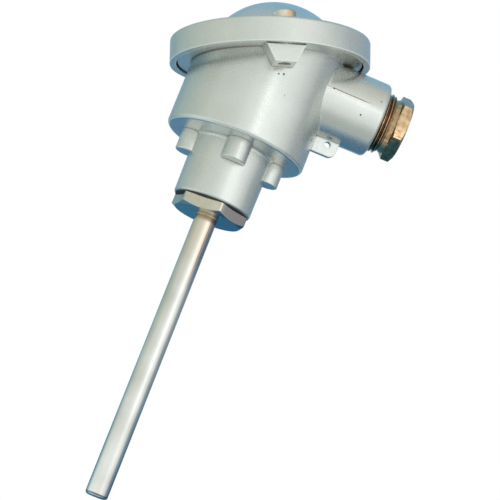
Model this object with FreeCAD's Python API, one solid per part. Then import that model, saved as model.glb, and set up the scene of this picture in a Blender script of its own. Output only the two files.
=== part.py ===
"""Resistance thermometer: a protection tube under a slant-lidded die-cast connection head.

Millimetres. The origin is on the probe's axis where the protection tube leaves its weld
collar. +Z runs up the probe into the head, and +X points along the cable entry.
The lid is drawn about its own axis (u, v, w), which leans back by lid_tilt.
"""
import FreeCAD, Part
import math
import os

from FreeCAD import Placement, Rotation, Vector

# Protection tube and the hexagon fitting that carries it
tube_radius = 4.5
tube_wall = 1.0
tube_length = 116.5
tube_end_wall = 1.5
tube_end_round = 1.4
tube_spigot_step = 0.2
tube_spigot_length = 15.0
weld_height = 1.0
weld_width = 0.35
hex_across_flats = 27.0
hex_height = 3.9
hex_turn = 40.1
hex_chamfer_angle = 30.0
shank_length = 14.0
neck_thread_radius = 12.0
thread_gap = 0.05
seal_thickness = 0.35
seal_width = 3.0

# Die-cast housing: neck, bowl and tilted rim
neck_wall = 3.75
neck_taper = 0.4
neck_edge_round = 1.0
neck_root_round = 1.2
neck_length = 24.4
thread_runout = 2.15
neck_shoulder = 2.5
body_radius = 28.4
body_wall = 3.4
body_floor = 3.4
body_edge_round = 1.7
body_underside_rise = 0.5
bowl_corner_round = 2.5
rim_offset = 1.24
bowl_height = 37.29
lid_tilt = 20.05
rim_overhang = 8.6
flange_thickness = 5.2
flange_recess = 0.8
flange_edge_round = 0.5

# Threaded lugs round the top of the neck, for the insert's screws
lug_count = 4
lug_radius = 5.1
lug_reach = 8.4
lug_edge_round = 0.6
lug_cap = 1.8

# Wedge-shaped lugs under the rim, for the lid's screws
wedge_top_width = 16.4
wedge_low_width = 8.3
wedge_height = 7.9
wedge_edge_round = 0.4
wedge_skirt_gap = 0.3

# Cable boss and the eye below it
boss_drop = 3.54
boss_wall = 2.8
boss_mould_step = 0.35
boss_parting_height = 1.1
boss_step_end = 6.5
boss_length = 21.1
boss_edge_round = 1.8
boss_root_round = 1.2
cable_hole_radius = 9.0
gland_seat_wall = 2.1
eye_thickness = 2.8
eye_length = 10.0
eye_drop = 6.5
eye_corner_round = 3.0
eye_hole_radius = 1.3
eye_hole_inset = 4.4
eye_hole_rise = 4.5

# Lid, its gasket and its screws
lid_height = 10.0
lid_plate = 2.0
lid_edge_round = 1.0
skirt_gap = 0.4
skirt_wall = 2.6
dome_overhang = 1.6
dome_drop = 4.5
dome_shift = 1.5
dome_wall = 2.5
dome_foot_round = 5.0
gasket_width = 1.8
gasket_gap = 0.3
lid_screw_inset = 4.5
lid_screw_radius = 2.5
lid_screw_tip_gap = 1.1
lid_screw_head_radius = 4.25
lid_screw_head_height = 3.3
lid_screw_clearance = 0.25
lid_washer_rim = 0.45
spot_face_gap = 0.9
spot_face_depth = 0.3
lid_washer_thickness = 0.5

# Cable gland: pressure screw, washers and sealing ring
gland_thread_radius = 12.5
gland_thread_length = 12.1
gland_relief_depth = 1.8
gland_relief_length = 2.3
gland_hex_across_flats = 24.0
gland_hex_length = 4.9
gland_hex_turn = 30.0
gland_bore_radius = 8.0
gland_bore_chamfer = 1.0
gland_part_gap = 0.3
gland_washer_thickness = 1.0
gland_washer_hole = 6.5
gland_seal_length = 8.5
gland_seal_hole = 5.0

# Measuring insert: mineral-insulated sheath, plate, terminal block and wiring
sheath_gap = 0.5
sheath_stand = 1.5
element_radius = 1.4
element_length = 15.0
element_gap = 0.1
element_cover = 0.6
insert_float = 1.0
plate_gap = 4.0
plate_screw_inset = 4.5
plate_thickness = 1.5
block_inset = 0.6
block_height = 11.0
block_edge_round = 1.0
block_hole_radius = 6.0
insert_screw_radius = 2.0
insert_screw_clearance = 0.3
insert_screw_head_height = 2.6
insert_screw_stand = 1.6
screw_end_gap = 0.8
spring_wire_radius = 0.4
spring_screw_gap = 0.65
spring_well_gap = 0.75
spring_head_cover = 0.35
spring_turns = 6.0
spring_seat_gap = 0.02
terminal_angles = [30.0, 150.0, 210.0, 330.0]
terminal_inset = 6.8
terminal_length = 8.0
terminal_width = 6.5
terminal_height = 7.4
terminal_sink = 3.0
terminal_pocket_gap = 0.1
terminal_edge_round = 0.5
terminal_hole_radius = 1.5
terminal_screw_radius = 1.5
terminal_screw_head_radius = 2.6
terminal_screw_head_height = 2.0
terminal_screw_stand = 1.2
terminal_screw_tip_gap = 0.05
wire_radius = 0.6
wire_circle_radius = 1.3
wire_bend_radius = 3.0
wire_end_inset = 1.0
wire_block_gap = 0.15

# Earth screw inside the bowl
earth_drop = 9.44
earth_boss_rim = 0.4
earth_boss_length = 3.0
earth_screw_radius = 2.0
earth_screw_depth = 4.5
earth_head_radius = 3.6
earth_head_height = 2.4
earth_washer_rim = 0.6
earth_washer_thickness = 0.8

# Screwdriver slots and points, shared by every slotted screw
slot_width_share = 0.28
slot_depth_share = 0.5
screw_point = 0.5
head_edge_round = 0.5

# Levels up the probe's axis
hex_low = weld_height
hex_top = hex_low + hex_height
neck_low = hex_top + seal_thickness
body_low = neck_low + neck_length
floor_top = body_low + body_floor
rim_height = body_low + bowl_height
boss_axis_height = rim_height - boss_drop
boss_radius = gland_thread_radius + boss_wall
eye_low = boss_axis_height - boss_radius - eye_drop
earth_height = rim_height - earth_drop
neck_thread_depth = shank_length - seal_thickness + thread_runout
plate_low = floor_top + insert_float
plate_top = plate_low + plate_thickness
block_top = plate_top + block_height
sheath_top = plate_top + sheath_stand
insert_head_low = block_top + insert_screw_stand
lug_low = body_low - lug_reach
lug_hole_low = lug_low + lug_cap
tube_inside_low = tube_end_wall - tube_length

# Radii about the probe's axis
neck_radius_low = neck_thread_radius + neck_wall
neck_radius_high = neck_radius_low + neck_taper
neck_hole_radius = neck_thread_radius - neck_shoulder
bowl_radius = body_radius - body_wall
sheath_radius = tube_radius - tube_wall - sheath_gap
plate_radius = bowl_radius - plate_gap
lug_circle_radius = plate_radius - plate_screw_inset
block_radius = plate_radius - block_inset
terminal_circle_radius = block_radius - terminal_inset

# Radii about the lid's axis, and the offset of its screws
flange_radius = body_radius + rim_overhang
lid_radius = flange_radius + skirt_gap + skirt_wall
lid_screw_offset = flange_radius - lid_screw_inset
dome_radius = body_radius + dome_overhang

# Radii about the screws' own axes
lid_washer_radius = lid_screw_head_radius + lid_washer_rim
spot_face_radius = lid_washer_radius + spot_face_gap
insert_screw_hole = insert_screw_radius + insert_screw_clearance
spring_mean_radius = insert_screw_radius + spring_screw_gap + spring_wire_radius
spring_well_radius = spring_mean_radius + spring_wire_radius + spring_well_gap
insert_screw_head_radius = spring_mean_radius + spring_head_cover
earth_washer_radius = earth_head_radius + earth_washer_rim
earth_boss_radius = earth_washer_radius + earth_boss_rim

# Levels up the lid's axis, from the lower edge of its skirt
flange_low = flange_recess
flange_top = flange_low + flange_thickness
plate_under = lid_height - lid_plate
spot_level = lid_height - spot_face_depth
lid_screw_seat = spot_level + lid_washer_thickness
wedge_low = flange_low - wedge_height
lid_screw_length = lid_screw_seat - wedge_low - lid_screw_tip_gap

# Distances along the cable entry, from the probe's axis
boss_inner = bowl_radius - body_wall
boss_end = body_radius + boss_length
eye_reach = body_radius + eye_length
gland_seat = body_radius + gland_seat_wall
seal_inner = gland_seat + gland_washer_thickness
seal_outer = seal_inner + gland_seal_length
gland_inner = seal_outer + gland_washer_thickness
gland_relief_start = gland_inner + gland_thread_length
gland_hex_start = gland_relief_start + gland_relief_length
gland_outer = gland_hex_start + gland_hex_length
gland_relief_radius = gland_thread_radius - gland_relief_depth

X_AXIS = Vector(1, 0, 0)
Z_AXIS = Vector(0, 0, 1)
lid_frame = Placement(Vector(rim_offset, 0, rim_height), Rotation(Vector(0, 1, 0), -lid_tilt))
entry_frame = Placement(Vector(0, 0, boss_axis_height), Rotation(Vector(0, 1, 0), 90))
# far is beyond every face of the head, for cutting tools
far = 2 * lid_radius
# how an edge is known to lie on the bowl's wall
wall_match = 0.01
wall_points = 7


def rounded_wire(corners, lay):
    """Closed wire through (a, b, radius) corners, each rounded by a tangent arc.

    lay(a, b) gives the corner's place in space.
    """
    points = [lay(a, b) for a, b, _ in corners]
    edges, ends = [], []
    for i, (_, _, radius) in enumerate(corners):
        here, before, after = points[i], points[i - 1], points[(i + 1) % len(points)]
        if not radius:
            ends.append((here, here))
            continue
        back, on = (before - here).normalize(), (after - here).normalize()
        half = back.getAngle(on) / 2
        tangent, centre = radius / math.tan(half), radius / math.sin(half)
        middle = here + (back + on).normalize() * (centre - radius)
        ends.append((here + back * tangent, here + on * tangent))
        edges.append(Part.Arc(ends[-1][0], middle, ends[-1][1]).toShape())
    for i, (_, leave) in enumerate(ends):
        reach = ends[(i + 1) % len(ends)][0]
        edges.append(Part.LineSegment(leave, reach).toShape())
    return Part.Wire(Part.__sortEdges__(edges))


def turned(corners):
    """Solid of revolution about Z from (radius, height, rounding) corners."""
    face = Part.Face(rounded_wire(corners, lambda r, z: Vector(r, 0, z)))
    return face.revolve(Vector(), Z_AXIS, 360)


def cylinder(radius, low, high, x=0.0, y=0.0):
    """Upright cylinder between two levels."""
    return Part.makeCylinder(radius, high - low, Vector(x, y, low))


def ring(inner, outer, low, high):
    """Flat ring between two levels."""
    return cylinder(outer, low, high).cut(cylinder(inner, low, high))


def prism(corners, lay, along):
    """Rounded outline laid by lay(a, b) and pushed out by the vector along."""
    return Part.Face(rounded_wire(corners, lay)).extrude(along)


def placed(shape, *frames):
    """Copy of a shape moved by each frame in turn, the innermost first."""
    moved = shape.copy()
    for frame in frames:
        moved.Placement = frame.multiply(moved.Placement)
    return moved


def about_z(angle, radius=0.0):
    """Frame turned about Z and moved out along its own X."""
    turn = Rotation(Z_AXIS, angle)
    return Placement(turn.multVec(Vector(radius, 0, 0)), turn)


def hexagon(across_flats, low, high, turn):
    """Hexagonal prism with a corner at the angle turn."""
    corner = across_flats / math.sqrt(3)
    points = [Vector(corner * math.cos(a), corner * math.sin(a), low)
              for a in (math.radians(turn + 60 * k) for k in range(7))]
    return Part.Face(Part.makePolygon(points)).extrude(Vector(0, 0, high - low))


def chamfer_cone(across_flats, low, high, low_end):
    """Turned blank that bevels a hexagon's corners at its low or high end."""
    corner = across_flats / math.sqrt(3)
    flat = across_flats / 2
    bevel = (corner - flat) * math.tan(math.radians(hex_chamfer_angle))
    if low_end:
        return turned([(0, low, 0), (flat, low, 0), (corner, low + bevel, 0),
                       (corner, high, 0), (0, high, 0)])
    return turned([(0, low, 0), (corner, low, 0), (corner, high - bevel, 0),
                   (flat, high, 0), (0, high, 0)])


def slotted_screw(radius, length, head_radius, head_height):
    """Cheese-head screw standing on z = 0, its shank pointing down."""
    blank = turned([
        (0, -length, 0), (radius - screw_point, -length, 0), (radius, screw_point - length, 0),
        (radius, 0, 0), (head_radius, 0, 0), (head_radius, head_height, head_edge_round),
        (0, head_height, 0)])
    width = 2 * head_radius * slot_width_share
    depth = head_height * slot_depth_share
    slot = Part.makeBox(2 * far, width, depth, Vector(-far, -width / 2, head_height - depth))
    return blank.cut(slot)


# Protection tube and fitting

def protection_tube():
    """Closed tube with a rounded end and a turned-down spigot at its top."""
    inside = tube_radius - tube_wall
    spigot = tube_radius - tube_spigot_step
    return turned([
        (0, -tube_length, 0), (tube_radius, -tube_length, tube_end_round), (tube_radius, 0, 0),
        (spigot, 0, 0), (spigot, tube_spigot_length, 0), (inside, tube_spigot_length, 0),
        (inside, tube_inside_low, 0), (0, tube_inside_low, 0)])


def hex_fitting():
    """Hexagon with a weld collar below and a screwed shank above."""
    collar = cylinder(tube_radius + weld_width, 0, hex_low)
    head = hexagon(hex_across_flats, hex_low, hex_top, hex_turn)
    head = head.common(chamfer_cone(hex_across_flats, hex_low, hex_top, True))
    shank_radius = neck_thread_radius - thread_gap
    shank = cylinder(shank_radius, hex_top, hex_top + shank_length)
    bore = cylinder(tube_radius - tube_spigot_step, 0, hex_top + shank_length)
    return collar.fuse([head, shank]).cut(bore).removeSplitter()


def neck_seal():
    """Flat sealing ring between the hexagon and the neck."""
    inner = neck_thread_radius + thread_gap
    return ring(inner, inner + seal_width, hex_top, neck_low)


# Housing

def housing_blank():
    """Neck and bowl turned in one outline, cut off along the rim's top plane."""
    blank = turned([
        (0, neck_low, 0), (neck_radius_low, neck_low, neck_edge_round),
        (neck_radius_high, body_low, neck_root_round),
        (body_radius, body_low + body_underside_rise, body_edge_round),
        (body_radius, rim_height + far, 0), (0, rim_height + far, 0)])
    above = placed(cylinder(2 * far, flange_top, 3 * far), lid_frame)
    return blank.cut(above)


def rim_flange():
    """Round flange under the lid, square to the lid's axis."""
    flange = turned([
        (0, flange_low, 0), (flange_radius, flange_low, flange_edge_round),
        (flange_radius, flange_top, flange_edge_round), (0, flange_top, 0)])
    return placed(flange, lid_frame)


def neck_lug(angle):
    """Rounded lug that stands down from the bowl's underside beside the neck."""
    lug = turned([
        (0, lug_low, 0), (lug_radius, lug_low, lug_edge_round),
        (lug_radius, body_low + body_floor / 2, 0), (0, body_low + body_floor / 2, 0)])
    return placed(lug, about_z(angle, lug_circle_radius))


def screw_wedge(side):
    """Wedge under the flange that takes one lid screw, flush with the flange's edge."""
    root = bowl_radius + body_wall / 2
    corners = [(-wedge_top_width / 2, flange_low, 0), (wedge_top_width / 2, flange_low, 0),
               (wedge_low_width / 2, wedge_low, wedge_edge_round),
               (-wedge_low_width / 2, wedge_low, wedge_edge_round)]
    wedge = prism(corners, lambda u, w: Vector(u, side * root, w),
                  Vector(0, side * (flange_radius - root), 0))
    skirt_room = ring(flange_radius, far, -wedge_skirt_gap, flange_low)
    return placed(wedge.cut(skirt_room), lid_frame)


def cable_boss():
    """Round boss for the cable gland."""
    boss = turned([(0, boss_inner, 0), (boss_radius, boss_inner, 0),
                   (boss_radius, boss_end, boss_edge_round), (0, boss_end, 0)])
    return placed(boss, entry_frame)


def mould_step():
    """Lower half of the boss, cast in the other half mould and standing out a little."""
    step_end = boss_end - boss_step_end
    lower = turned([(0, boss_inner, 0), (boss_radius + boss_mould_step, boss_inner, 0),
                    (boss_radius, step_end, 0), (0, step_end, 0)])
    # the entry frame turns its own X to point down the head
    parting = Part.makeBox(far, 2 * far, far, Vector(-boss_parting_height, -far, 0))
    return placed(lower.common(parting), entry_frame)


def seal_eye():
    """Flat eye cast in the corner between the bowl and the boss."""
    top = boss_axis_height - boss_radius + body_wall / 2
    root = bowl_radius + body_wall / 2
    corners = [(root, eye_low, 0), (eye_reach, eye_low, eye_corner_round),
               (eye_reach, top, 0), (root, top, 0)]
    plate = prism(corners, lambda x, z: Vector(x, -eye_thickness / 2, z),
                  Vector(0, eye_thickness, 0))
    hole = Part.makeCylinder(
        eye_hole_radius, far, Vector(eye_reach - eye_hole_inset, -far / 2, eye_low + eye_hole_rise),
        Vector(0, 1, 0))
    return plate.cut(hole)


def earth_boss():
    """Pad inside the bowl, opposite the cable entry, for the earth screw."""
    pad = cylinder(earth_boss_radius, bowl_radius - earth_boss_length, bowl_radius + body_wall / 2)
    return placed(pad, Placement(Vector(0, 0, earth_height), Rotation(Vector(0, 1, 0), -90)))


def housing_hollows():
    """Everything bored or cored out of the casting."""
    bowl = turned([(0, floor_top, 0), (bowl_radius, floor_top, bowl_corner_round),
                   (bowl_radius, rim_height + far, 0), (0, rim_height + far, 0)])
    neck = cylinder(neck_thread_radius, neck_low, neck_low + neck_thread_depth)
    well = cylinder(neck_hole_radius, neck_low, floor_top)
    gland = placed(cylinder(gland_thread_radius, gland_seat, boss_end), entry_frame)
    passage = placed(cylinder(cable_hole_radius, 0, gland_seat), entry_frame)
    lid_holes = [placed(cylinder(lid_screw_radius + thread_gap, wedge_low, flange_top,
                                 y=side * lid_screw_offset), lid_frame)
                 for side in (-1, 1)]
    lug_holes = [placed(cylinder(insert_screw_radius + thread_gap, lug_hole_low, floor_top),
                        about_z(360 * k / lug_count, lug_circle_radius))
                 for k in range(lug_count)]
    return [bowl, neck, well, gland, passage] + lid_holes + lug_holes


def earth_hole():
    """Blind threaded hole in the earth pad."""
    mouth = bowl_radius - earth_boss_length
    hole = cylinder(earth_screw_radius + thread_gap, mouth, mouth + earth_screw_depth)
    return placed(hole, Placement(Vector(0, 0, earth_height), Rotation(Vector(0, 1, 0), -90)))


def boss_root_edges(shape):
    """Curved edges where the boss leaves the bowl's outer wall."""
    found = []
    for edge in shape.Edges:
        box = edge.BoundBox
        on_wall = all(abs(math.hypot(point.x, point.y) - body_radius) < wall_match
                      for point in edge.discretize(wall_points))
        if on_wall and box.XMin > 0 and box.YLength > boss_root_round and box.ZMax > boss_axis_height:
            found.append(edge)
    return found


def housing():
    """Die-cast head in one piece."""
    outside = housing_blank().fuse([rim_flange(), cable_boss()])
    outside = outside.makeFillet(boss_root_round, boss_root_edges(outside)).fuse(mould_step())
    outside = outside.fuse([neck_lug(360 * k / lug_count) for k in range(lug_count)])
    outside = outside.fuse([screw_wedge(-1), screw_wedge(1), seal_eye()])
    hollow = outside.cut(housing_hollows())
    return hollow.fuse(earth_boss()).cut(earth_hole()).removeSplitter()


# Lid

def lid():
    """Round cap with a skirt and an off-centre dome, spot-faced for its two screws."""
    cap = turned([
        (0, plate_under, 0), (flange_radius + skirt_gap, plate_under, 0),
        (flange_radius + skirt_gap, 0, 0), (lid_radius, 0, 0),
        (lid_radius, lid_height, lid_edge_round), (0, lid_height, 0)])
    centre = Placement(Vector(dome_shift, 0, 0), Rotation())
    cap = cap.fuse(placed(dome(dome_radius, lid_height, dome_foot_round), centre))
    cap = cap.cut(placed(dome(dome_radius - dome_wall, plate_under, 0), centre))
    for side in (-1, 1):
        y = side * lid_screw_offset
        cap = cap.cut(cylinder(spot_face_radius, spot_level, far, y=y))
        hole_radius = lid_screw_radius + lid_screw_clearance
        cap = cap.cut(cylinder(hole_radius, plate_under, lid_height, y=y))
    return placed(cap.removeSplitter(), lid_frame)


def dome(radius, base, foot_round):
    """Spherical cap above the level base, with a hollow fillet of foot_round at its foot."""
    centre = -dome_drop
    # the fillet circle touches the sphere from outside and rests on the base plane
    rise = base + foot_round - centre
    out = math.sqrt((radius + foot_round) ** 2 - rise ** 2)
    touch = Vector(out, 0, rise) * (radius / (radius + foot_round)) + Vector(0, 0, centre)
    foot = Vector(out, 0, base)
    top = Vector(0, 0, centre + radius)
    half = math.atan2(touch.x, touch.z - centre) / 2
    crown = Vector(radius * math.sin(half), 0, centre + radius * math.cos(half))
    edges = [Part.Arc(top, crown, touch).toShape()]
    if foot_round:
        hub = Vector(out, 0, base + foot_round)
        inward = ((touch - hub).normalize() + (foot - hub).normalize()).normalize()
        edges.append(Part.Arc(touch, hub + inward * foot_round, foot).toShape())
    axis_foot = Vector(0, 0, base)
    edges.append(Part.LineSegment(foot, axis_foot).toShape())
    edges.append(Part.LineSegment(axis_foot, top).toShape())
    return Part.Face(Part.Wire(edges)).revolve(Vector(), Z_AXIS, 360)


def lid_gasket():
    """Flat rubber ring between the flange and the lid's plate."""
    outer = lid_screw_offset - lid_screw_radius - lid_screw_clearance - gasket_gap
    return placed(ring(outer - gasket_width, outer, flange_top, plate_under), lid_frame)


def lid_washer(side):
    """Plain washer under a lid screw's head."""
    washer = ring(lid_screw_radius + thread_gap, lid_washer_radius, spot_level, lid_screw_seat)
    return placed(washer, Placement(Vector(0, side * lid_screw_offset, 0), Rotation()), lid_frame)


def lid_screw(side):
    """Slotted cheese-head screw through the lid into its wedge."""
    screw = slotted_screw(lid_screw_radius, lid_screw_length,
                          lid_screw_head_radius, lid_screw_head_height)
    seat = Placement(Vector(0, side * lid_screw_offset, lid_screw_seat), Rotation())
    return placed(screw, seat, lid_frame)


# Cable gland

def gland_screw():
    """Pressure screw: thread, waisted relief, hexagon and a through bore for the cable."""
    thread = gland_thread_radius - thread_gap
    flat = gland_hex_across_flats / 2
    body = turned([
        (0, gland_inner, 0), (thread - screw_point, gland_inner, 0),
        (thread, gland_inner + screw_point, 0), (thread, gland_relief_start - screw_point, 0),
        (gland_relief_radius, gland_relief_start, 0), (flat, gland_hex_start, 0),
        (0, gland_hex_start, 0)])
    head = hexagon(gland_hex_across_flats, gland_hex_start, gland_outer, gland_hex_turn - 90)
    head = head.common(chamfer_cone(gland_hex_across_flats, gland_hex_start, gland_outer, False))
    bore = turned([
        (0, gland_inner, 0), (gland_bore_radius, gland_inner, 0),
        (gland_bore_radius, gland_outer - gland_bore_chamfer, 0),
        (gland_bore_radius + gland_bore_chamfer, gland_outer, 0), (0, gland_outer, 0)])
    return placed(body.fuse(head).cut(bore).removeSplitter(), entry_frame)


def gland_ring(hole, start, end):
    """Washer or sealing ring in the cable boss."""
    return placed(ring(hole, gland_thread_radius - gland_part_gap, start, end), entry_frame)


# Measuring insert

def insert_sheath():
    """Mineral-insulated rod with a blind chamber for the sensing element at its tip."""
    low = tube_inside_low
    rod = turned([(0, low, 0), (sheath_radius, low, sheath_radius / 3),
                  (sheath_radius, sheath_top, 0), (0, sheath_top, 0)])
    start = low + element_cover
    return rod.cut(cylinder(element_radius + element_gap, start, start + element_length))


def sensor_element():
    """Ceramic-bodied resistor that fills the chamber in the tip."""
    start = tube_inside_low + element_cover
    return cylinder(element_radius, start, start + element_length)


def insert_screw_places():
    """Places of the two spring-loaded screws, across the cable entry."""
    return [about_z(angle, lug_circle_radius) for angle in (90, 270)]


def insert_plate():
    """Round steel plate brazed to the sheath."""
    plate = ring(sheath_radius, plate_radius, plate_low, plate_top)
    return plate.cut([placed(cylinder(insert_screw_hole, plate_low, plate_top), place)
                      for place in insert_screw_places()])


def terminal_block():
    """Ceramic block with a wiring hole, spring wells and a pocket for each terminal."""
    block = turned([
        (0, plate_top, 0), (block_radius, plate_top, block_edge_round),
        (block_radius, block_top, block_edge_round), (0, block_top, 0)])
    tools = [cylinder(block_hole_radius, plate_top, block_top)]
    tools += [placed(cylinder(spring_well_radius, plate_top, block_top), place)
              for place in insert_screw_places()]
    length = terminal_length + 2 * terminal_pocket_gap
    width = terminal_width + 2 * terminal_pocket_gap
    pocket = Part.makeBox(length, width, far, Vector(-length / 2, -width / 2,
                                                     block_top - terminal_sink))
    tools += [placed(pocket, about_z(angle, terminal_circle_radius)) for angle in terminal_angles]
    return block.cut(tools)


def wire_level():
    """Height of a lead's straight end, just above the block."""
    return block_top + wire_block_gap + wire_radius


def terminal(angle):
    """Brass terminal with a cross hole for the wires and a screw hole from above."""
    low = block_top - terminal_sink
    top = low + terminal_height
    half, side = terminal_length / 2, terminal_width / 2
    body = prism([(-half, low, 0), (half, low, 0), (half, top, terminal_edge_round),
                  (-half, top, terminal_edge_round)],
                 lambda x, z: Vector(x, -side, z), Vector(0, terminal_width, 0))
    hole_level = wire_level() - wire_radius + terminal_hole_radius
    cross = Part.makeCylinder(terminal_hole_radius, terminal_length,
                              Vector(-half, 0, hole_level), X_AXIS)
    thread = cylinder(terminal_screw_radius + thread_gap, hole_level, top)
    return placed(body.cut([cross, thread]), about_z(angle, terminal_circle_radius))


def terminal_screw(angle):
    """Slotted clamping screw whose point stands just clear of the lead."""
    top = block_top - terminal_sink + terminal_height
    seat = top + terminal_screw_stand
    tip = wire_level() + wire_radius + terminal_screw_tip_gap
    screw = slotted_screw(terminal_screw_radius, seat - tip,
                          terminal_screw_head_radius, terminal_screw_head_height)
    return placed(screw, Placement(Vector(0, 0, seat), Rotation()),
                  about_z(angle, terminal_circle_radius))


def lead_wire(angle):
    """Insulated lead from the sheath's top, bent over into its terminal."""
    level = wire_level()
    bend = wire_bend_radius
    end = terminal_circle_radius + terminal_length / 2 - wire_end_inset
    start = Vector(wire_circle_radius, 0, sheath_top)
    turn_in = Vector(wire_circle_radius, 0, level - bend)
    turn_out = Vector(wire_circle_radius + bend, 0, level)
    share = bend * (1 - math.sqrt(0.5))
    middle = Vector(wire_circle_radius + share, 0, level - share)
    path = Part.Wire([
        Part.LineSegment(start, turn_in).toShape(),
        Part.Arc(turn_in, middle, turn_out).toShape(),
        Part.LineSegment(turn_out, Vector(end, 0, level)).toShape()])
    section = Part.Wire(Part.makeCircle(wire_radius, start, Z_AXIS))
    return placed(path.makePipeShell([section], True, True), about_z(angle))


def insert_screw(place):
    """Slotted screw that holds the insert down through its spring."""
    length = insert_head_low - lug_hole_low - screw_end_gap
    screw = slotted_screw(insert_screw_radius, length,
                          insert_screw_head_radius, insert_screw_head_height)
    return placed(screw, Placement(Vector(0, 0, insert_head_low), Rotation()), place)


def insert_spring(place):
    """Compression spring between the plate and the screw's head."""
    low = plate_top + spring_wire_radius + spring_seat_gap
    high = insert_head_low - spring_wire_radius - spring_seat_gap
    helix = Part.makeHelix((high - low) / spring_turns, high - low, spring_mean_radius)
    helix.translate(Vector(0, 0, low))
    lead = Vector(0, 2 * math.pi * spring_mean_radius, (high - low) / spring_turns)
    section = Part.Wire(Part.makeCircle(spring_wire_radius, Vector(spring_mean_radius, 0, low),
                                        lead))
    return placed(Part.Wire(helix.Edges).makePipeShell([section], True, True), place)


# Earth screw

def earth_frame():
    """Frame on the earth pad's face, its Z pointing back into the bowl."""
    face = Vector(earth_boss_length - bowl_radius, 0, earth_height)
    return Placement(face, Rotation(Vector(0, 1, 0), 90))


def earth_washer():
    """Plain washer on the earth pad."""
    washer = ring(earth_screw_radius + thread_gap, earth_washer_radius, 0, earth_washer_thickness)
    return placed(washer, earth_frame())


def earth_screw():
    """Slotted screw on the earth washer."""
    length = earth_screw_depth + earth_washer_thickness - screw_end_gap
    screw = slotted_screw(earth_screw_radius, length, earth_head_radius, earth_head_height)
    return placed(screw, Placement(Vector(0, 0, earth_washer_thickness), Rotation()),
                  earth_frame())


def all_parts():
    """Every node of the probe, by name."""
    parts = {
        "protection_tube": protection_tube(), "hex_fitting": hex_fitting(),
        "neck_seal": neck_seal(), "housing": housing(), "lid": lid(),
        "lid_gasket": lid_gasket(),
        "gland_screw": gland_screw(),
        "gland_washer_inner": gland_ring(gland_washer_hole, gland_seat, seal_inner),
        "gland_seal": gland_ring(gland_seal_hole, seal_inner, seal_outer),
        "gland_washer_outer": gland_ring(gland_washer_hole, seal_outer, gland_inner),
        "insert_sheath": insert_sheath(), "sensor_element": sensor_element(),
        "insert_plate": insert_plate(), "terminal_block": terminal_block(),
        "earth_washer": earth_washer(), "earth_screw": earth_screw(),
    }
    for name, side in (("front", -1), ("rear", 1)):
        parts["lid_washer_" + name] = lid_washer(side)
        parts["lid_screw_" + name] = lid_screw(side)
    for name, place in zip(("rear", "front"), insert_screw_places()):
        parts["insert_screw_" + name] = insert_screw(place)
        parts["insert_spring_" + name] = insert_spring(place)
    for number, angle in enumerate(terminal_angles, 1):
        parts["terminal_%d" % number] = terminal(angle)
        parts["terminal_screw_%d" % number] = terminal_screw(angle)
        parts["lead_wire_%d" % number] = lead_wire(angle)
    return parts


os.makedirs("parts", exist_ok=True)
for node, shape in all_parts().items():
    shape.exportStep("parts/%s.step" % node)
    box = shape.BoundBox
    print("%-20s solids %d valid %s volume %9.1f  z %.2f to %.2f"
          % (node, len(shape.Solids), shape.isValid(), shape.Volume, box.ZMin, box.ZMax))
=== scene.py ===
"""Looks of the resistance thermometer with its slant-lidded connection head, in metres.

The frame's own solids keep their shapes and get their finishes here. Two pieces are drawn
again: the cable gland's pressure screw, with its helical thread, and the screwed fitting,
with the rounded corners of its hexagon. Every piece is placed from the frame.
"""
import math

import bpy
import numpy as np
from mathutils import Matrix, Vector


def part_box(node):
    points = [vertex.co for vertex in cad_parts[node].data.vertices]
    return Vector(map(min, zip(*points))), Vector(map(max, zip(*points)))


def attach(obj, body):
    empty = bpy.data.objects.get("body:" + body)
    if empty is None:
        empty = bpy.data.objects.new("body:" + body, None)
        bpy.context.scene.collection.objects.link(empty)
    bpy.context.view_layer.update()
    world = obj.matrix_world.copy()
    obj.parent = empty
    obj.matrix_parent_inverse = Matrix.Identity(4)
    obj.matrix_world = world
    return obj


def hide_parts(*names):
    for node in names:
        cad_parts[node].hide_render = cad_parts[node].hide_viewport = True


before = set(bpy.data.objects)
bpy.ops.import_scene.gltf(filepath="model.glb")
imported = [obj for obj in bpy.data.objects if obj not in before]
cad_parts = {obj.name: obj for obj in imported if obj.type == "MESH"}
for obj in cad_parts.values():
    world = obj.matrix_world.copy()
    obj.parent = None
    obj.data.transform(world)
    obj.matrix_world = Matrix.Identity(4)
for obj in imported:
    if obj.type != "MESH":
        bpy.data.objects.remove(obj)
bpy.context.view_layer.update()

MM = 0.001

# The lid's axis leans back from the probe's axis
lid_tilt = math.radians(20.05)

# Thread, relief groove, hexagon and bore of the cable gland's pressure screw
gland_columns = 240
gland_rows_a_pitch = 16
gland_thread_pitch = 1.5 * MM
gland_thread_depth = 0.92 * MM
gland_thread_length = 12.1 * MM
gland_thread_radius = 12.45 * MM
gland_crest_share = 0.18
gland_flank_share = 0.58
gland_lead_in = 0.8 * MM
gland_run_out = 0.6 * MM
gland_relief_radius = 10.7 * MM
gland_relief_length = 2.3 * MM
gland_relief_slope = 0.3 * MM
gland_hex_across_flats = 24.0 * MM
gland_hex_bevel = math.radians(30.0)
gland_hex_inner_edge = 0.5 * MM
gland_hex_shoulder = 0.1 * MM
gland_hex_inset = 0.4 * MM
gland_bore_radius = 8.0 * MM
gland_bore_chamfer = 1.0 * MM
gland_smooth_angle = math.radians(28)

# Collar, hexagon, shank and bore of the screwed fitting; the turn is that of the corner
# nearest the front
fitting_across_flats = 27.0 * MM
fitting_low = 0.2 * MM
fitting_top = 4.9 * MM
fitting_corner_turn = math.radians(10.1)
fitting_corner_radius = 1.2 * MM
fitting_bevel = math.radians(30.0)
fitting_bevel_inset = 0.1 * MM
fitting_edge = 0.15 * MM
fitting_collar_radius = 4.85 * MM
fitting_shank_radius = 11.95 * MM
fitting_bore_radius = 4.3 * MM
fitting_smooth_angle = math.radians(16)

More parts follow.
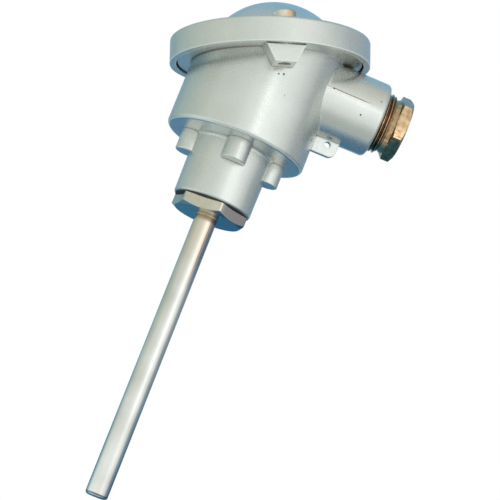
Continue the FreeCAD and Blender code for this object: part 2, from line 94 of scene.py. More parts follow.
# Camera: where it aims and how it is turned
view_aim = Vector((20.535, -0.767, -5.301)) * MM
view_azimuth = math.radians(-5.734)
view_elevation = math.radians(-11.557)
view_roll = math.radians(21.351)
view_distance = 753.15 * MM
lens_length = 138.35
sensor_width = 36.0


# Node helpers

edge_samples = 6
crevice_samples = 8


def empty_tree(block):
    """Node tree of a material or a world, with nothing in it."""
    block.use_nodes = True
    block.node_tree.nodes.clear()
    return block.node_tree


def new_tree(name):
    """Material of one Principled shader, its node tree and the shader."""
    material = bpy.data.materials.new(name)
    tree = empty_tree(material)
    shader = tree.nodes.new("ShaderNodeBsdfPrincipled")
    output = tree.nodes.new("ShaderNodeOutputMaterial")
    tree.links.new(shader.outputs["BSDF"], output.inputs["Surface"])
    return material, tree, shader


def place_vector(tree, stretch=(1, 1, 1), turn=(0, 0, 0)):
    """Object coordinates, turned and stretched for a pattern."""
    place = tree.nodes.new("ShaderNodeTexCoord")
    mapping = tree.nodes.new("ShaderNodeMapping")
    mapping.inputs["Rotation"].default_value = turn
    mapping.inputs["Scale"].default_value = stretch
    tree.links.new(place.outputs["Object"], mapping.inputs["Vector"])
    return mapping.outputs["Vector"]


def axes_of(tree, vector=None):
    """X, Y and Z of a vector, or of the object coordinates where none is given."""
    if vector is None:
        vector = tree.nodes.new("ShaderNodeTexCoord").outputs["Object"]
    split = tree.nodes.new("ShaderNodeSeparateXYZ")
    tree.links.new(vector, split.inputs["Vector"])
    return split.outputs["X"], split.outputs["Y"], split.outputs["Z"]


def noise(tree, vector, scale, detail=2.0, roughness=0.5):
    """Noise value over the vector; scale is cycles a metre."""
    node = tree.nodes.new("ShaderNodeTexNoise")
    node.inputs["Scale"].default_value = scale
    node.inputs["Detail"].default_value = detail
    node.inputs["Roughness"].default_value = roughness
    tree.links.new(vector, node.inputs["Vector"])
    return node.outputs["Fac"]


def spread(tree, value, low, high, out_low=0.0, out_high=1.0):
    """Value carried from the range low..high to out_low..out_high, and held there."""
    node = tree.nodes.new("ShaderNodeMapRange")
    node.inputs["From Min"].default_value = low
    node.inputs["From Max"].default_value = high
    node.inputs["To Min"].default_value = out_low
    node.inputs["To Max"].default_value = out_high
    tree.links.new(value, node.inputs["Value"])
    return node.outputs["Result"]


def combine(tree, operation, first, second=0.0):
    """One arithmetic step on two values; either may be a number."""
    node = tree.nodes.new("ShaderNodeMath")
    node.operation = operation
    for socket, value in zip(node.inputs, (first, second)):
        if isinstance(value, (int, float)):
            socket.default_value = value
        else:
            tree.links.new(value, socket)
    return node.outputs["Value"]


def combine_vectors(tree, operation, first, second=None):
    """One step on two vectors; the second may be a place in metres."""
    node = tree.nodes.new("ShaderNodeVectorMath")
    node.operation = operation
    tree.links.new(first, node.inputs[0])
    if isinstance(second, tuple):
        node.inputs[1].default_value = second
    elif second is not None:
        tree.links.new(second, node.inputs[1])
    return node.outputs["Value" if operation in ("DISTANCE", "DOT_PRODUCT") else "Vector"]


def diagonal(tree, first, second):
    """Root of the sum of two squares."""
    squares = [combine(tree, "POWER", value, 2.0) for value in (first, second)]
    return combine(tree, "SQRT", combine(tree, "ADD", *squares))


def band(tree, value, slopes, strength=1.0):
    """Strength between the middle two of four values, falling to 0 at the outer two."""
    return combine(tree, "MULTIPLY", spread(tree, value, slopes[0], slopes[1]),
                   spread(tree, value, slopes[2], slopes[3], strength, 0.0))


def blend_colours(tree, factor, first, second):
    """First colour where the factor is 0, second where it is 1."""
    node = tree.nodes.new("ShaderNodeMix")
    node.data_type = "RGBA"
    tree.links.new(factor, node.inputs["Factor"])
    for socket, colour in ((node.inputs[6], first), (node.inputs[7], second)):
        if isinstance(colour, tuple):
            socket.default_value = (*colour, 1.0)
        else:
            tree.links.new(colour, socket)
    return node.outputs[2]


def add_bump(tree, height, distance, before=None):
    """Bump of the given depth in metres, on top of an earlier one."""
    node = tree.nodes.new("ShaderNodeBump")
    node.inputs["Distance"].default_value = distance
    tree.links.new(height, node.inputs["Height"])
    if before is not None:
        tree.links.new(before, node.inputs["Normal"])
    return node.outputs["Normal"]


def soft_edges(tree, radius):
    """Normal that rounds the edges by the radius in metres, as a tumbled or painted edge is."""
    node = tree.nodes.new("ShaderNodeBevel")
    node.samples = edge_samples
    node.inputs["Radius"].default_value = radius
    return node.outputs["Normal"]


def edge_mask(tree, rounded):
    """0.9 on edges and in corners, where the rounded normal leaves the surface's own, else 0."""
    surface = tree.nodes.new("ShaderNodeNewGeometry")
    match = combine_vectors(tree, "DOT_PRODUCT", surface.outputs["Normal"], rounded)
    return spread(tree, match, 0.84, 0.98, 0.9, 0.0)


def corner_shade_mask(tree, reach):
    """Painted shade's mask: 1 in inner corners that occlusion shades, 0 on open faces and outer
    edges.
    """
    shade = tree.nodes.new("ShaderNodeAmbientOcclusion")
    shade.samples = crevice_samples
    shade.inputs["Distance"].default_value = reach
    return spread(tree, shade.outputs["AO"], 0.50, 0.80, 1.0, 0.0)


# Finishes

casting_flaws = [
    # (x, y, z, radius) of pits and rust specks in the paint, mm
    (3.4, -28.2, 57.2, 0.35), (5.3, -27.9, 57.9, 0.45), (40.4, -14.7, 58.8, 0.4),
    (46.2, -14.9, 67.1, 0.35), (26.8, -15.5, 64.5, 0.5), (-5.2, -17.8, 28.6, 0.3),
    (-5.6, -17.2, 26.4, 0.3), (-4.9, -16.6, 25.0, 0.25), (8.6, -27.2, 50.5, 0.25),
    (14.6, -24.3, 29.8, 0.5), (15.4, -23.8, 29.8, 0.5), (16.2, -23.3, 29.8, 0.4),
]

# Lower edge of the body, where the paint is worn and painted with a bright highlight
skirt_radius = 28.2 * MM
skirt_level = 29.9 * MM

# Parting line along the cable boss, where the two half moulds met
parting_level = 64.5 * MM
parting_reach = (26.0 * MM, 27.0 * MM, 39.5 * MM, 43.5 * MM)

# Silver paint: its tones, its worn edges with painted highlight, its painted corner shade and its
# depths of bump
paint_dark, paint_light = (0.620, 0.640, 0.610), (0.665, 0.680, 0.650)
paint_flake = (0.76, 0.79, 0.76)
paint_worn_highlight = (0.93, 0.94, 0.92)
paint_corner_shade = (0.20, 0.13, 0.09)
paint_pit = (0.17, 0.10, 0.07)
paint_seam = (0.27, 0.17, 0.11)
paint_edge = 0.35 * MM
worn_highlight_reach = 1.1 * MM
corner_shade_reach = 1.0 * MM
orange_peel_depth = 0.020 * MM
grain_depth = 0.003 * MM
pit_depth = 0.25 * MM

# Tool lines: how the pattern is stretched along a drawn tube, round an upright axis and
# round the gland's axis, and how deep the lines are
drawn_lines = (1.0, 1.0, 0.02)
turned_lines = (0.25, 0.25, 1.0)
gland_lines = (1.0, 0.05, 0.05)
tool_depth = 0.006 * MM

# Heat tint of the tube, from far below the weld to full colour beside it, painted reflections
# on its upper right, and a darker ring round its tip
straw_tint, straw_levels = (0.70, 0.60, 0.46), (-30.0 * MM, -1.5 * MM)
brown_tint, brown_levels = (0.34, 0.20, 0.13), (-2.4 * MM, -0.6 * MM)
reflection_levels, reflection_front = (-34.0 * MM, -16.0 * MM), (-1.5 * MM, 0.0)
blue_reflection, blue_reflection_band = (0.22, 0.30, 0.40), (2.4 * MM, 2.8 * MM, 3.9 * MM, 4.3 * MM)
brown_reflection, brown_reflection_band = (0.36, 0.15, 0.08), (1.9 * MM, 2.2 * MM, 2.4 * MM, 2.7 * MM)
tip_dark_ring, tip_band = (0.10, 0.08, 0.07), (-116.0 * MM, -115.7 * MM, -115.4 * MM, -115.1 * MM)

# Painted shade in the roots of the gland's thread
root_shade = (0.09, 0.038, 0.018)
root_depths = (0.85 * MM, 0.55 * MM)


def flaw_mask(tree, flaws):
    """1 inside the small round flaws, 0 outside."""
    place = tree.nodes.new("ShaderNodeTexCoord")
    mask = None
    for x, y, z, radius in flaws:
        away = combine_vectors(tree, "DISTANCE", place.outputs["Object"],
                               (x * MM, y * MM, z * MM))
        spot = spread(tree, away, 0.4 * radius * MM, radius * MM, 1.0, 0.0)
        mask = spot if mask is None else combine(tree, "MAXIMUM", mask, spot)
    return mask


def parting_mask(tree):
    """0.9 on the thin seam along the cable boss, 0 elsewhere."""
    along, _, level = axes_of(tree)
    away = combine(tree, "ABSOLUTE", combine(tree, "SUBTRACT", level, parting_level))
    seam = spread(tree, away, 0.10 * MM, 0.30 * MM, 0.9, 0.0)
    return combine(tree, "MULTIPLY", seam, band(tree, along, parting_reach))


def skirt_highlight_mask(tree):
    """1 round the lower edge of the body: near the ring of its radius at its lowest level.

    The distance from the ring is the root of (r - R)^2 + (z - Z)^2.
    """
    across, deep, level = axes_of(tree)
    out = combine(tree, "SUBTRACT", diagonal(tree, across, deep), skirt_radius)
    up = combine(tree, "SUBTRACT", level, skirt_level)
    return spread(tree, diagonal(tree, out, up), 0.55 * MM, 0.85 * MM, 1.0, 0.0)


def cast_paint(name, turn, streaks, streak_depth, flaws=()):
    """Silver paint on a die casting, worn with a painted highlight on outer edges, and painted
    with shade in inner corners.

    It has fine grain, faint mottling and streaks. A casting with flaws has its pits, its
    worn skirt with a painted highlight and its parting line as well.
    """
    material, tree, shader = new_tree(name)
    vector = place_vector(tree)
    mottle = noise(tree, vector, 90.0, 3.0)
    grain = noise(tree, vector, 2600.0)
    orange_peel = noise(tree, vector, 620.0)
    streaky = noise(tree, place_vector(tree, streaks, turn), 1.0, 3.0)
    colour = blend_colours(tree, spread(tree, mottle, 0.35, 0.65), paint_dark, paint_light)
    flake = spread(tree, grain, 0.30, 0.72, 0.0, 0.12)
    colour = blend_colours(tree, flake, colour, paint_flake)

    # worn paint and painted highlight: outer edges and the body's lower edge turn near white and
    # lose their metal
    worn_highlight = edge_mask(tree, soft_edges(tree, worn_highlight_reach))
    if flaws:
        worn_highlight = combine(tree, "MAXIMUM", worn_highlight, skirt_highlight_mask(tree))
    corner_shade = corner_shade_mask(tree, corner_shade_reach)
    worn_highlight = combine(tree, "MULTIPLY", worn_highlight, combine(tree, "SUBTRACT", 1.0, corner_shade))
    colour = blend_colours(tree, worn_highlight, colour, paint_worn_highlight)
    # painted shade: inner corners darkened towards brown where the ambient occlusion is low
    colour = blend_colours(tree, combine(tree, "MULTIPLY", corner_shade, 0.75), colour, paint_corner_shade)
    rough = spread(tree, grain, 0.3, 0.7, 0.24, 0.33)
    rough = combine(tree, "ADD", rough, combine(tree, "MULTIPLY", worn_highlight, 0.25))
    metal = spread(tree, worn_highlight, 0.0, 1.0, 0.82, 0.0)

    bump = add_bump(tree, orange_peel, orange_peel_depth, soft_edges(tree, paint_edge))
    bump = add_bump(tree, grain, grain_depth, bump)
    bump = add_bump(tree, streaky, streak_depth, bump)
    if flaws:
        pits = flaw_mask(tree, flaws)
        colour = blend_colours(tree, pits, colour, paint_pit)
        colour = blend_colours(tree, parting_mask(tree), colour, paint_seam)
        bump = add_bump(tree, combine(tree, "SUBTRACT", 1.0, pits), pit_depth, bump)
    tree.links.new(colour, shader.inputs["Base Color"])
    tree.links.new(rough, shader.inputs["Roughness"])
    tree.links.new(bump, shader.inputs["Normal"])
    tree.links.new(metal, shader.inputs["Metallic"])
    shader.inputs["Coat Weight"].default_value = 0.12
    shader.inputs["Coat Roughness"].default_value = 0.25
    return material


def bright_metal(name, dark, light, rough, stretch, lines, depth=tool_depth, patch=60.0,
                 edge=0.12 * MM):
    """Bare or plated metal with fine tool lines and slow patches in tone."""
    material, tree, shader = new_tree(name)
    patches = noise(tree, place_vector(tree), patch, 3.0)
    tool = noise(tree, place_vector(tree, stretch), lines, 3.0, 0.6)
    colour = blend_colours(tree, spread(tree, patches, 0.3, 0.7), dark, light)
    tree.links.new(colour, shader.inputs["Base Color"])
    tree.links.new(spread(tree, tool, 0.25, 0.75, *rough), shader.inputs["Roughness"])
    tree.links.new(add_bump(tree, tool, depth, soft_edges(tree, edge)), shader.inputs["Normal"])
    shader.inputs["Metallic"].default_value = 1.0
    return material, tree, shader, colour


def tube_steel():
    """Polished tube: lines along its length, its heat tint, painted reflections on its upper right
    and a darker ring round its tip.
    """
    material, tree, shader, colour = bright_metal(
        "polished_tube", (0.66, 0.65, 0.61), (0.80, 0.79, 0.77), (0.08, 0.20), drawn_lines,
        3200.0, depth=0.005 * MM, patch=70.0)
    side, deep, level = axes_of(tree)
    upper = combine(tree, "MULTIPLY", spread(tree, level, *reflection_levels, 0.0, 0.85),
                    spread(tree, deep, *reflection_front, 1.0, 0.0))
    for mask, tone in (
            (spread(tree, level, *straw_levels, 0.0, 0.75), straw_tint),
            (spread(tree, level, *brown_levels, 0.0, 0.8), brown_tint),
            # painted reflections: blue and brown bands on the tube's upper right
            (combine(tree, "MULTIPLY", upper, band(tree, side, blue_reflection_band)), blue_reflection),
            (combine(tree, "MULTIPLY", upper, band(tree, side, brown_reflection_band)), brown_reflection),
            (band(tree, level, tip_band, 0.75), tip_dark_ring)):
        colour = blend_colours(tree, mask, colour, tone)
    tree.links.new(colour, shader.inputs["Base Color"])
    return material


def turned_metal(name, dark, light, rough=(0.18, 0.30)):
    """Machined metal with fine turning lines round the part's own axis."""
    return bright_metal(name, dark, light, rough, turned_lines, 4200.0)[0]


def side_toned_metal(name, dark, light, patch, edge, places, strength, tone):
    """Turned and plated metal whose colour goes towards a tone along X between two places: painted
    shade on the hexagon's right side, orange towards +X on the lid screws.
    """
    material, tree, shader, colour = bright_metal(
        name, dark, light, (0.12, 0.22), turned_lines, 3200.0, patch=patch, edge=edge)
    side_tone = spread(tree, axes_of(tree)[0], *places, 0.0, strength)
    tree.links.new(blend_colours(tree, side_tone, colour, tone), shader.inputs["Base Color"])
    return material


def gland_metal():
    """Plated brass: lines round the gland's axis, and thread roots darkened as painted shade.

    The distance from the gland's axis is the root of y^2 + (z - height)^2.
    """
    material, tree, shader, colour = bright_metal(
        "nickel_brass", (0.36, 0.22, 0.11), (0.62, 0.48, 0.31), (0.06, 0.15), gland_lines,
        2600.0, patch=520.0, edge=0.15 * MM)
    height, start, _ = gland_place()
    relief = start + gland_thread_length
    along, side, level = axes_of(tree)
    away = diagonal(tree, side, combine(tree, "SUBTRACT", level, height))
    root = spread(tree, away, gland_thread_radius - root_depths[0],
                  gland_thread_radius - root_depths[1], 0.92, 0.0)
    within = spread(tree, along, relief - 0.5 * MM, relief, 1.0, 0.0)
    # painted shade in the roots of the thread
    thread_root_shade = combine(tree, "MULTIPLY", root, within)
    tree.links.new(blend_colours(tree, thread_root_shade, colour, root_shade),
                   shader.inputs["Base Color"])
    return material


def plain_surface(name, dark, light, scale, rough, depth):
    """Unplated surface: mottled colour, grain in its roughness and a light bump."""
    material, tree, shader = new_tree(name)
    vector = place_vector(tree)
    tone = noise(tree, vector, scale, 4.0, 0.6)
    grain = noise(tree, vector, 6 * scale)
    colour = blend_colours(tree, spread(tree, tone, 0.3, 0.7), dark, light)
    tree.links.new(colour, shader.inputs["Base Color"])
    tree.links.new(spread(tree, grain, 0.3, 0.7, *rough), shader.inputs["Roughness"])
    tree.links.new(add_bump(tree, grain, depth), shader.inputs["Normal"])
    return material


def finishes():
    """Every finish of the probe, by a maker's name."""
    screw_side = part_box("lid_screw_front")[0].x
    return {
        "head_paint": cast_paint("head_paint", (0, 0, 0), (30, 30, 900), 0.004 * MM,
                                 casting_flaws),
        "lid_paint": cast_paint("lid_paint", (0.0, lid_tilt, 0.0), (70, 70, 1400), 0.016 * MM),
        "tube": tube_steel(),
        # painted shade: the hexagon's colour darkens towards its right side, +X
        "hexagon": side_toned_metal("nickel_steel", (0.54, 0.51, 0.41), (0.66, 0.62, 0.53),
                                 220.0, 0.10 * MM, (2.8 * MM, 5.0 * MM), 0.85,
                                 (0.40, 0.35, 0.36)),
        "gland": gland_metal(),
        "clamp": turned_metal("plated_clamp", (0.54, 0.42, 0.29), (0.70, 0.60, 0.46),
                              (0.12, 0.22)),
        "lid_screw": side_toned_metal("plated_screw", (0.78, 0.70, 0.58), (0.90, 0.84, 0.74),
                                   300.0, 0.20 * MM,
                                   (screw_side + 3.2 * MM, screw_side + 4.6 * MM), 0.75,
                                   (0.60, 0.36, 0.18)),
        "steel": turned_metal("bright_steel", (0.58, 0.57, 0.55), (0.70, 0.69, 0.67)),
        "brass": turned_metal("bare_brass", (0.72, 0.52, 0.24), (0.86, 0.68, 0.36)),
        "spring": turned_metal("spring_wire", (0.44, 0.44, 0.45), (0.56, 0.56, 0.57)),
        "sheath": turned_metal("sheath_steel", (0.52, 0.52, 0.51), (0.62, 0.62, 0.61),
                               (0.28, 0.40)),
        "ceramic": plain_surface("glazed_ceramic", (0.80, 0.77, 0.70), (0.90, 0.88, 0.83),
                                 260.0, (0.22, 0.34), 0.02 * MM),
        "rubber": plain_surface("black_rubber", (0.018, 0.018, 0.020), (0.035, 0.035, 0.037),
                                700.0, (0.62, 0.78), 0.03 * MM),
        "fibre": plain_surface("graphite_fibre", (0.015, 0.014, 0.013), (0.045, 0.042, 0.040),
                               900.0, (0.55, 0.75), 0.03 * MM),
        "red_sleeve": plain_surface("red_sleeve", (0.50, 0.035, 0.025), (0.60, 0.06, 0.04),
                                    500.0, (0.32, 0.42), 0.01 * MM),
        "white_sleeve": plain_surface("white_sleeve", (0.78, 0.78, 0.75), (0.86, 0.86, 0.84),
                                      500.0, (0.32, 0.42), 0.01 * MM),
    }


node_finishes = {
    "housing": "head_paint", "lid": "lid_paint", "protection_tube": "tube",
    "hex_fitting": "hexagon", "neck_seal": "fibre", "lid_gasket": "rubber",
    "gland_screw": "gland", "gland_washer_inner": "brass", "gland_washer_outer": "brass",
    "gland_seal": "rubber", "insert_sheath": "sheath", "sensor_element": "ceramic",
    "insert_plate": "steel", "terminal_block": "ceramic", "earth_washer": "steel",
    "earth_screw": "brass", "lid_washer_front": "steel", "lid_washer_rear": "steel",
    "lid_screw_front": "lid_screw", "lid_screw_rear": "lid_screw",
    "insert_screw_front": "steel", "insert_screw_rear": "steel",
    "insert_spring_front": "spring", "insert_spring_rear": "spring",
}
for number in (1, 2, 3, 4):
    node_finishes["terminal_%d" % number] = "clamp"
    node_finishes["terminal_screw_%d" % number] = "steel"
    node_finishes["lead_wire_%d" % number] = "red_sleeve" if number in (1, 4) else "white_sleeve"


def dress(thing, material):
    """Gives a piece or a node one finish all over."""
    thing.data.materials.clear()
    thing.data.materials.append(material)


# Meshes

def add_object(name, data):
    """New object of a mesh, lamp or camera, at the origin of the scene."""
    thing = bpy.data.objects.new(name, data)
    bpy.context.scene.collection.objects.link(thing)
    return thing


def grid_cells(rows, columns):
    """Corners of every cell of a grid that is closed both ways, by row and column."""
    index = np.arange(rows * columns).reshape(rows, columns)
    right, up = np.roll(index, -1, 1), np.roll(index, -1, 0)
    return np.stack([index, right, np.roll(up, -1, 1), up], 2)


def closed_grid(name, points, smooth_angle):
    """Mesh of a grid that is closed both ways, with edges kept sharp above an angle.

    points[i, j] is the place of parameter i along the outline and j round the axis; each
    cell of the grid is one four-cornered face.
    """
    rows, columns = points.shape[:2]
    quads = grid_cells(rows, columns).reshape(-1, 4)
    mesh = bpy.data.meshes.new(name)
    mesh.vertices.add(rows * columns)
    mesh.vertices.foreach_set("co", points.reshape(-1).astype(np.float32))
    mesh.loops.add(quads.size)
    mesh.loops.foreach_set("vertex_index", quads.reshape(-1).astype(np.int32))
    mesh.polygons.add(len(quads))
    mesh.polygons.foreach_set("loop_start", np.arange(0, quads.size, 4, dtype=np.int32))
    mesh.polygons.foreach_set("use_smooth", np.ones(len(quads), bool))
    mesh.update(calc_edges=True)
    mesh.validate()
    mesh.set_sharp_from_angle(angle=smooth_angle)
    return add_object(name, mesh)


def outline_arrays(outline, columns):
    """Radius by row and column, and the place of each row; a bare radius is a circle."""
    radius = np.array([np.broadcast_to(row, columns) for row, _ in outline])
    return radius, np.array([place for _, place in outline])[:, None]


def gland_place():
    """Height of the gland's axis, and where the pressure screw begins and ends along it."""
    low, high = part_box("gland_screw")
    return (low.z + high.z) / 2, low.x, high.x


def threaded_gland():
    """Pressure screw as one grid of outline by angle.

    Along the thread the radius is the crest less a trapezoid wave of the helix phase, which
    is distance over pitch less angle over a full turn. The hexagon's radius is half its
    width over the cosine of the angle from the nearest flat, held inside the bevel's cone.
    """
    axis_height, start, outer = gland_place()
    relief = start + gland_thread_length
    hexagon = relief + gland_relief_length
    angles = np.linspace(0, 2 * math.pi, gland_columns, endpoint=False)

    along = np.linspace(start, relief,
                        int(gland_thread_length / gland_thread_pitch * gland_rows_a_pitch))
    phase = along[:, None] / gland_thread_pitch - angles[None, :] / (2 * math.pi)
    wave = np.abs((phase % 1.0) * 2 - 1)
    groove = np.clip((wave - gland_crest_share) / gland_flank_share, 0, 1)
    fade = np.clip((along - start) / gland_lead_in, 0, 1)
    fade = fade * np.clip((relief - along) / gland_run_out, 0, 1)
    thread = gland_thread_radius - gland_thread_depth * (1 - fade[:, None] * (1 - groove))

    flat = gland_hex_across_flats / 2
    corner = flat / math.cos(math.pi / 6)
    across = flat / np.cos((angles + math.pi / 6) % (math.pi / 3) - math.pi / 6)
    rise = (corner - flat) * math.tan(gland_hex_bevel)
    outline = [(gland_bore_radius, start)]
    outline += list(zip(thread, along))
    outline += [(gland_relief_radius, relief + gland_relief_slope),
                (flat - gland_hex_inset, hexagon - gland_hex_shoulder)]
    outline += [(np.minimum(across, flat + share * (corner - flat)),
                 hexagon + share * gland_hex_inner_edge) for share in (0.0, 0.5, 1.0)]
    outline += [(np.minimum(across, flat + share * (corner - flat)), outer - share * rise)
                for share in (1.0, 0.75, 0.5, 0.25, 0.0)]
    outline += [(gland_bore_radius + gland_bore_chamfer, outer),
                (gland_bore_radius, outer - gland_bore_chamfer)]
    radius, place = outline_arrays(outline, gland_columns)
    points = np.empty(radius.shape + (3,))
    points[..., 0] = place
    points[..., 1] = -radius * np.cos(angles)
    points[..., 2] = axis_height - radius * np.sin(angles)
    return closed_grid("pressure_screw_threaded", points, gland_smooth_angle)


def rounded_hexagon(angle, across_flats, fillet):
    """Radius of a hexagon with rounded corners, at an angle from one of its corners.

    A flat lies at half the width over the cosine of the angle from its own middle. Round a
    corner the ray meets a circle of the fillet radius f, whose centre is at c from the axis:
    the radius is c cos(a) + sqrt(f^2 - c^2 sin^2(a)).
    """
    flat = across_flats / 2
    near = (angle + math.pi / 6) % (math.pi / 3) - math.pi / 6
    centre = (flat - fillet) / math.cos(math.pi / 6)
    reach = math.atan2(fillet / 2, centre + fillet * math.cos(math.pi / 6))
    inside = np.maximum(fillet ** 2 - (centre * np.sin(near)) ** 2, 0.0)
    rounded = centre * np.cos(near) + np.sqrt(inside)
    return np.where(np.abs(near) <= reach, rounded, flat / np.cos(math.pi / 6 - np.abs(near)))


def screwed_fitting():
    """Hexagon fitting: a collar below, rounded corners bevelled below, a plain shank above.

    The radius is the rounded hexagon's, held inside the bevel's cone, and the angles lie
    closer together round the corners.
    """
    flat = fitting_across_flats / 2
    corner = flat / math.cos(math.pi / 6)
    inner = flat - fitting_bevel_inset
    sixth = np.radians(np.concatenate([np.linspace(-3.0, 3.0, 13), np.linspace(4.0, 56.0, 27)]))
    angles = np.concatenate([sixth + k * math.pi / 3 for k in range(6)])
    across = rounded_hexagon(angles, fitting_across_flats, fitting_corner_radius)
    rise = (corner - flat) * math.tan(fitting_bevel)
    shank_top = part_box("hex_fitting")[1].z
    outline = [(fitting_bore_radius, 0.0), (fitting_collar_radius, 0.0),
               (fitting_collar_radius, fitting_low)]
    outline += [(np.minimum(across, inner + share * (corner - inner)),
                 fitting_low + share * rise) for share in np.linspace(0.0, 1.0, 9)]
    outline += [(across, fitting_top - fitting_edge), (across - fitting_edge, fitting_top),
                (fitting_shank_radius, fitting_top), (fitting_shank_radius, shank_top),
                (fitting_bore_radius, shank_top)]
    radius, level = outline_arrays(outline, len(angles))
    turned = angles + fitting_corner_turn
    points = np.empty(radius.shape + (3,))
    points[..., 0] = radius * np.sin(turned)
    points[..., 1] = -radius * np.cos(turned)
    points[..., 2] = level
    return closed_grid("screwed_fitting", points[::-1], fitting_smooth_angle)


# Stage, lamps and camera

floor_reach = 2.4
floor_level = -0.46
floor_glow = 0.72
surround_level = 0.45
head_centre = (0.0, 0.0, 0.04)

soft_boxes = [
    # (name, azimuth, elevation, distance, (width, height), radiance)
    ("key", 27, 2, 0.40, (0.22, 0.20), 0.20),
    ("sparkle", 15, 15, 0.40, (0.07, 0.04), 1.4),
]


def floor():
    """Plain pale floor well below the tube's tip, which a camera from underneath looks through."""
    corners = [(x * floor_reach, y * floor_reach, floor_level)
               for x, y in ((-1, -1), (1, -1), (1, 1), (-1, 1))]
    mesh = bpy.data.meshes.new("floor")
    mesh.from_pydata(corners, [], [(0, 1, 2, 3)])
    thing = add_object("floor", mesh)
    material, tree, shader = new_tree("floor_pale")
    tone = noise(tree, place_vector(tree), 3.0)
    colour = blend_colours(tree, spread(tree, tone, 0.3, 0.7),
                           (0.30, 0.30, 0.30), (0.34, 0.34, 0.34))
    tree.links.new(colour, shader.inputs["Base Color"])
    shader.inputs["Roughness"].default_value = 0.9
    shader.inputs["Emission Color"].default_value = (1.0, 1.0, 1.0, 1.0)
    sight = tree.nodes.new("ShaderNodeLightPath")
    glow = combine(tree, "MULTIPLY", sight.outputs["Is Camera Ray"], floor_glow)
    tree.links.new(glow, shader.inputs["Emission Strength"])
    side = tree.nodes.new("ShaderNodeNewGeometry")
    tree.links.new(combine(tree, "SUBTRACT", 1.0, side.outputs["Backfacing"]),
                   shader.inputs["Alpha"])
    dress(thing, material)


def white_surround(level):
    """World that is white to the eye and in reflections, and a soft grey light otherwise."""
    world = bpy.data.worlds.new("surround")
    bpy.context.scene.world = world
    tree = empty_tree(world)
    path = tree.nodes.new("ShaderNodeLightPath")
    seen = combine(tree, "MAXIMUM", path.outputs["Is Camera Ray"], path.outputs["Is Glossy Ray"])
    seen = combine(tree, "MAXIMUM", seen, path.outputs["Is Transmission Ray"])
    background = tree.nodes.new("ShaderNodeBackground")
    output = tree.nodes.new("ShaderNodeOutputWorld")
    background.inputs["Color"].default_value = (1, 1, 1, 1)
    tree.links.new(spread(tree, seen, 0.0, 1.0, level, 1.0), background.inputs["Strength"])
    tree.links.new(background.outputs["Background"], output.inputs["Surface"])


def direction(azimuth, elevation):
    """Unit vector at two angles; azimuth 0 is -Y, positive towards +X."""
    return Vector((math.sin(azimuth) * math.cos(elevation),
                   -math.cos(azimuth) * math.cos(elevation), math.sin(elevation)))


def soft_box(name, azimuth, elevation, distance, size, radiance):
    """Rectangular white lamp aimed at the head."""
    lamp = bpy.data.lights.new(name, "AREA")
    lamp.shape = "RECTANGLE"
    lamp.size, lamp.size_y = size
    lamp.energy = radiance * math.pi * size[0] * size[1]
    away = direction(math.radians(azimuth), math.radians(elevation))
    thing = add_object(name, lamp)
    thing.matrix_world = (Matrix.Translation(Vector(head_centre) + away * distance)
                          @ away.to_track_quat("Z", "Y").to_matrix().to_4x4())
    thing.visible_camera = False


# Radiance of the light tent, as (azimuth in degrees, colour) at three heights
tent_level = [
    (-180, (0.36, 0.54, 0.66)), (-150, (0.26, 0.42, 0.50)), (-118, (0.46, 0.59, 0.57)),
    (-88, (0.60, 0.65, 0.59)), (-54, (0.77, 0.81, 0.74)), (-24, (0.86, 0.90, 0.86)),
    (2, (1.08, 1.13, 1.11)), (30, (1.25, 1.30, 1.29)), (52, (1.14, 1.18, 1.17)),
    (70, (0.84, 0.88, 0.88)), (91, (0.40, 0.44, 0.46)), (128, (0.22, 0.31, 0.40)),
    (158, (0.24, 0.40, 0.52)), (180, (0.36, 0.54, 0.66)),
]
tent_low = [
    (-180, (0.03, 0.18, 0.36)), (-135, (0.16, 0.36, 0.48)), (-112, (0.60, 0.74, 0.76)),
    (-90, (0.92, 1.02, 1.00)), (-30, (1.02, 1.07, 1.03)), (0, (0.98, 1.03, 1.00)),
    (30, (1.12, 1.17, 1.14)), (62, (0.86, 0.90, 0.88)), (92, (0.24, 0.32, 0.38)),
    (136, (0.03, 0.14, 0.26)), (180, (0.03, 0.18, 0.36)),
]
tent_high = [
    (-180, (0.22, 0.52, 0.76)), (-90, (0.52, 0.60, 0.62)), (0, (0.82, 0.80, 0.70)),
    (90, (0.44, 0.52, 0.57)), (180, (0.22, 0.52, 0.76)),
]
tent_deep = (0.52, 0.58, 0.55)
tent_floor = (0.30, 0.48, 0.60)
tent_radius = 0.44

# Ranges over which the tent goes from one colour to the next: of the height, which is the
# sine of the elevation, and of how far to the front it lies
tent_low_range = (-0.28, -0.08)
tent_high_range = (0.28, 0.80)
tent_deep_range = (-0.78, -0.45)
tent_floor_range = (-0.998, -0.95)
tent_front_range = (-0.25, 0.05)


def azimuth_ramp(tree, azimuth, stops):
    """Colour by azimuth, from the stops given in degrees."""
    node = tree.nodes.new("ShaderNodeValToRGB")
    ramp = node.color_ramp
    ramp.interpolation = "EASE"
    places = [(degrees / 360 + 0.5, colour) for degrees, colour in stops]
    ramp.elements[0].position, ramp.elements[1].position = 0.0, 1.0
    ramp.elements[0].color = (*places[0][1], 1.0)
    ramp.elements[1].color = (*places[-1][1], 1.0)
    for place, colour in places[1:-1]:
        ramp.elements.new(place).color = (*colour, 1.0)
    tree.links.new(azimuth, node.inputs["Fac"])
    return node.outputs["Color"]


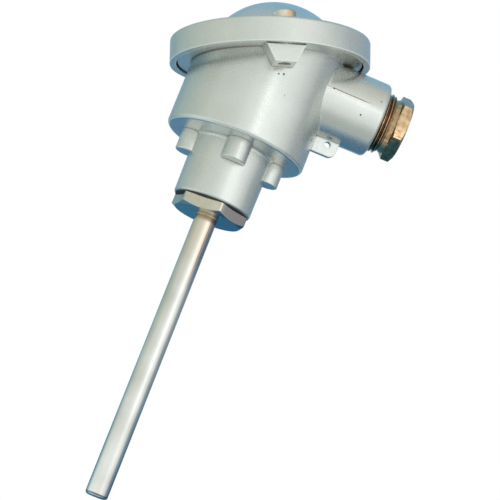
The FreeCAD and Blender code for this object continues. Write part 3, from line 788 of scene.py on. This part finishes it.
def light_tent():
    """Round tent about the object: its glow depends on the direction it is seen in.

    Its points are the radius times (cos(r) cos(t), cos(r) sin(t), sin(r)), for the rise r
    and the turn t, from the head's centre.
    """
    rows, columns = 24, 48
    rise = np.linspace(-math.pi / 2, math.pi / 2, rows)
    turn = np.linspace(0, 2 * math.pi, columns, endpoint=False)
    points = np.stack([
        np.cos(rise)[:, None] * np.cos(turn), np.cos(rise)[:, None] * np.sin(turn),
        np.repeat(np.sin(rise)[:, None], columns, 1)], 2) * tent_radius + head_centre
    mesh = bpy.data.meshes.new("light_tent")
    mesh.from_pydata(points.reshape(-1, 3).tolist(), [],
                     grid_cells(rows, columns)[:-1].reshape(-1, 4).tolist())
    thing = add_object("light_tent", mesh)

    material = bpy.data.materials.new("light_tent")
    tree = empty_tree(material)
    away = combine_vectors(tree, "SUBTRACT", place_vector(tree), head_centre)
    across, deep, height = axes_of(tree, combine_vectors(tree, "NORMALIZE", away))
    angle = combine(tree, "ARCTAN2", across, combine(tree, "MULTIPLY", deep, -1.0))
    azimuth = combine(tree, "ADD", combine(tree, "DIVIDE", angle, 2 * math.pi), 0.5)
    colour = blend_colours(tree, spread(tree, height, *tent_low_range),
                           azimuth_ramp(tree, azimuth, tent_low),
                           azimuth_ramp(tree, azimuth, tent_level))
    colour = blend_colours(tree, spread(tree, height, *tent_high_range), colour,
                           azimuth_ramp(tree, azimuth, tent_high))
    below = combine(tree, "MULTIPLY", spread(tree, deep, *tent_front_range, 1.0, 0.0),
                    spread(tree, height, *tent_deep_range, 1.0, 0.0))
    colour = blend_colours(tree, below, colour, tent_deep)
    colour = blend_colours(tree, spread(tree, height, *tent_floor_range, 1.0, 0.0),
                           colour, tent_floor)
    glow = tree.nodes.new("ShaderNodeEmission")
    output = tree.nodes.new("ShaderNodeOutputMaterial")
    tree.links.new(colour, glow.inputs["Color"])
    tree.links.new(glow.outputs["Emission"], output.inputs["Surface"])
    dress(thing, material)
    thing.visible_camera = False


def camera():
    """Camera below the head, looking up at it, with the probe leaning in the picture."""
    data = bpy.data.cameras.new("camera")
    data.lens = lens_length
    data.sensor_width = sensor_width
    thing = add_object("camera", data)
    back = direction(view_azimuth, view_elevation)
    level = Vector((math.cos(view_azimuth), math.sin(view_azimuth), 0))
    right = math.cos(view_roll) * level + math.sin(view_roll) * back.cross(level)
    turn = Matrix((right, back.cross(right), back)).transposed().to_4x4()
    thing.matrix_world = Matrix.Translation(view_aim + back * view_distance) @ turn
    bpy.context.scene.camera = thing


materials = finishes()
for node, finish in node_finishes.items():
    dress(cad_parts[node], materials[finish])

gland = threaded_gland()
dress(gland, materials["gland"])
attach(gland, "pressure_screw")
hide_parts("gland_screw")

fitting = screwed_fitting()
dress(fitting, materials["hexagon"])
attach(fitting, "head")
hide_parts("hex_fitting")

floor()
white_surround(surround_level)
for box in soft_boxes:
    soft_box(*box)
light_tent()
camera()

scene = bpy.context.scene
scene.view_settings.view_transform = "Standard"
